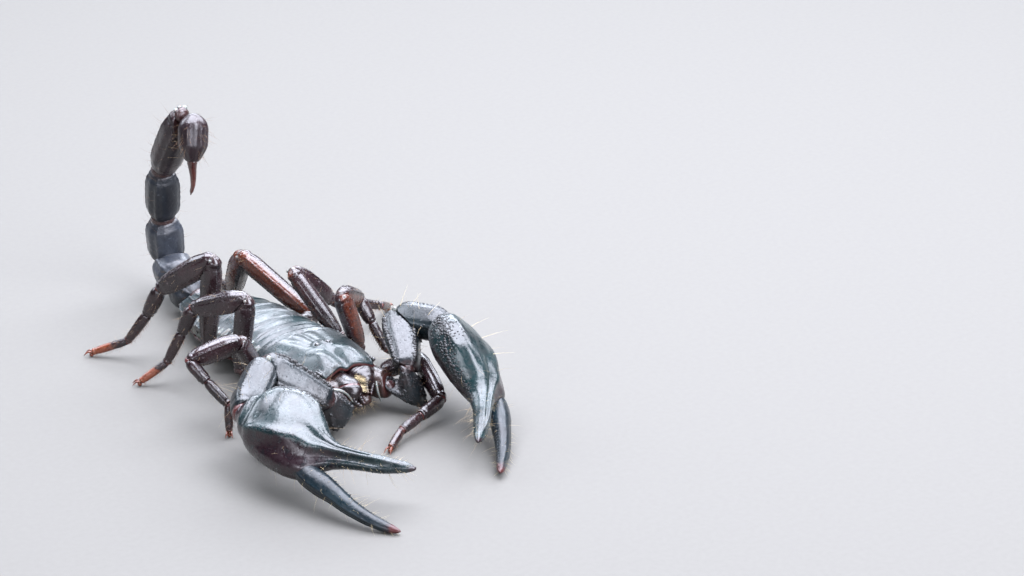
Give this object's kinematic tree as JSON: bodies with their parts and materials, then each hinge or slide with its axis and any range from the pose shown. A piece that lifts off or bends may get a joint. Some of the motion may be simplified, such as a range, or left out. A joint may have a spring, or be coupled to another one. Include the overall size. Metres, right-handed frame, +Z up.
{
  "type": "scorpion",
  "caption": "Forest scorpion standing on its eight legs with open claws and the tail raised over its back, a still life-size model.",
  "frame": {"origin": "centre of the footprint, at floor level", "axes": "+Z up, the animal faces -Y, and +X is toward its left side"},
  "size_m": [0.0624, 0.1188, 0.041],
  "materials": {
    "shell": "glossy dark teal-black cuticle",
    "claw": "glossy purple-black cuticle",
    "underside": "smooth dark brown cuticle",
    "limb": "dark reddish-brown cuticle",
    "tarsus": "orange-brown cuticle",
    "pecten": "pale brown cuticle",
    "telson": "glossy dark reddish-brown cuticle",
    "sting": "glossy dark red cuticle",
    "finger": "glossy dark reddish cuticle",
    "chelicera": "very glossy brown-black cuticle",
    "eye": "glossy black"
  },
  "bodies": {
    "root": {"belly": "underside", "carapace": "shell", "chelicera_left": "chelicera", "chelicera_right": "chelicera", "coxosternum": "underside", "lateral_eyes_left": "eye", "lateral_eyes_right": "eye", "leg_1_left_femur": "limb", "leg_1_left_foot": "tarsus", "leg_1_left_patella": "limb", "leg_1_right_femur": "limb", "leg_1_right_foot": "tarsus", "leg_1_right_patella": "limb", "leg_2_left_femur": "limb", "leg_2_left_foot": "tarsus", "leg_2_left_patella": "limb", "leg_2_right_femur": "limb", "leg_2_right_foot": "tarsus", "leg_2_right_patella": "limb", "leg_3_left_femur": "limb", "leg_3_left_foot": "tarsus", "leg_3_left_patella": "limb", "leg_3_right_femur": "limb", "leg_3_right_foot": "tarsus", "leg_3_right_patella": "limb", "leg_4_left_femur": "limb", "leg_4_left_foot": "tarsus", "leg_4_left_patella": "limb", "leg_4_right_femur": "limb", "leg_4_right_foot": "tarsus", "leg_4_right_patella": "limb", "median_eye_left": "eye", "median_eye_right": "eye", "pecten_left": "pecten", "pecten_right": "pecten", "pedipalp_left_femur": "claw", "pedipalp_left_hand": "claw", "pedipalp_left_moving_finger": "finger", "pedipalp_left_patella": "claw", "pedipalp_left_trochanter": "claw", "pedipalp_right_femur": "claw", "pedipalp_right_hand": "claw", "pedipalp_right_moving_finger": "finger", "pedipalp_right_patella": "claw", "pedipalp_right_trochanter": "claw", "sting": "sting", "tail_segment_1": "claw", "tail_segment_2": "claw", "tail_segment_3": "claw", "tail_segment_4": "claw", "tail_segment_5": "telson", "telson_vesicle": "telson", "tergite_1": "shell", "tergite_2": "shell", "tergite_3": "shell", "tergite_4": "shell", "tergite_5": "shell", "tergite_6": "shell", "tergite_7": "shell"}
  },
  "joints": []
}
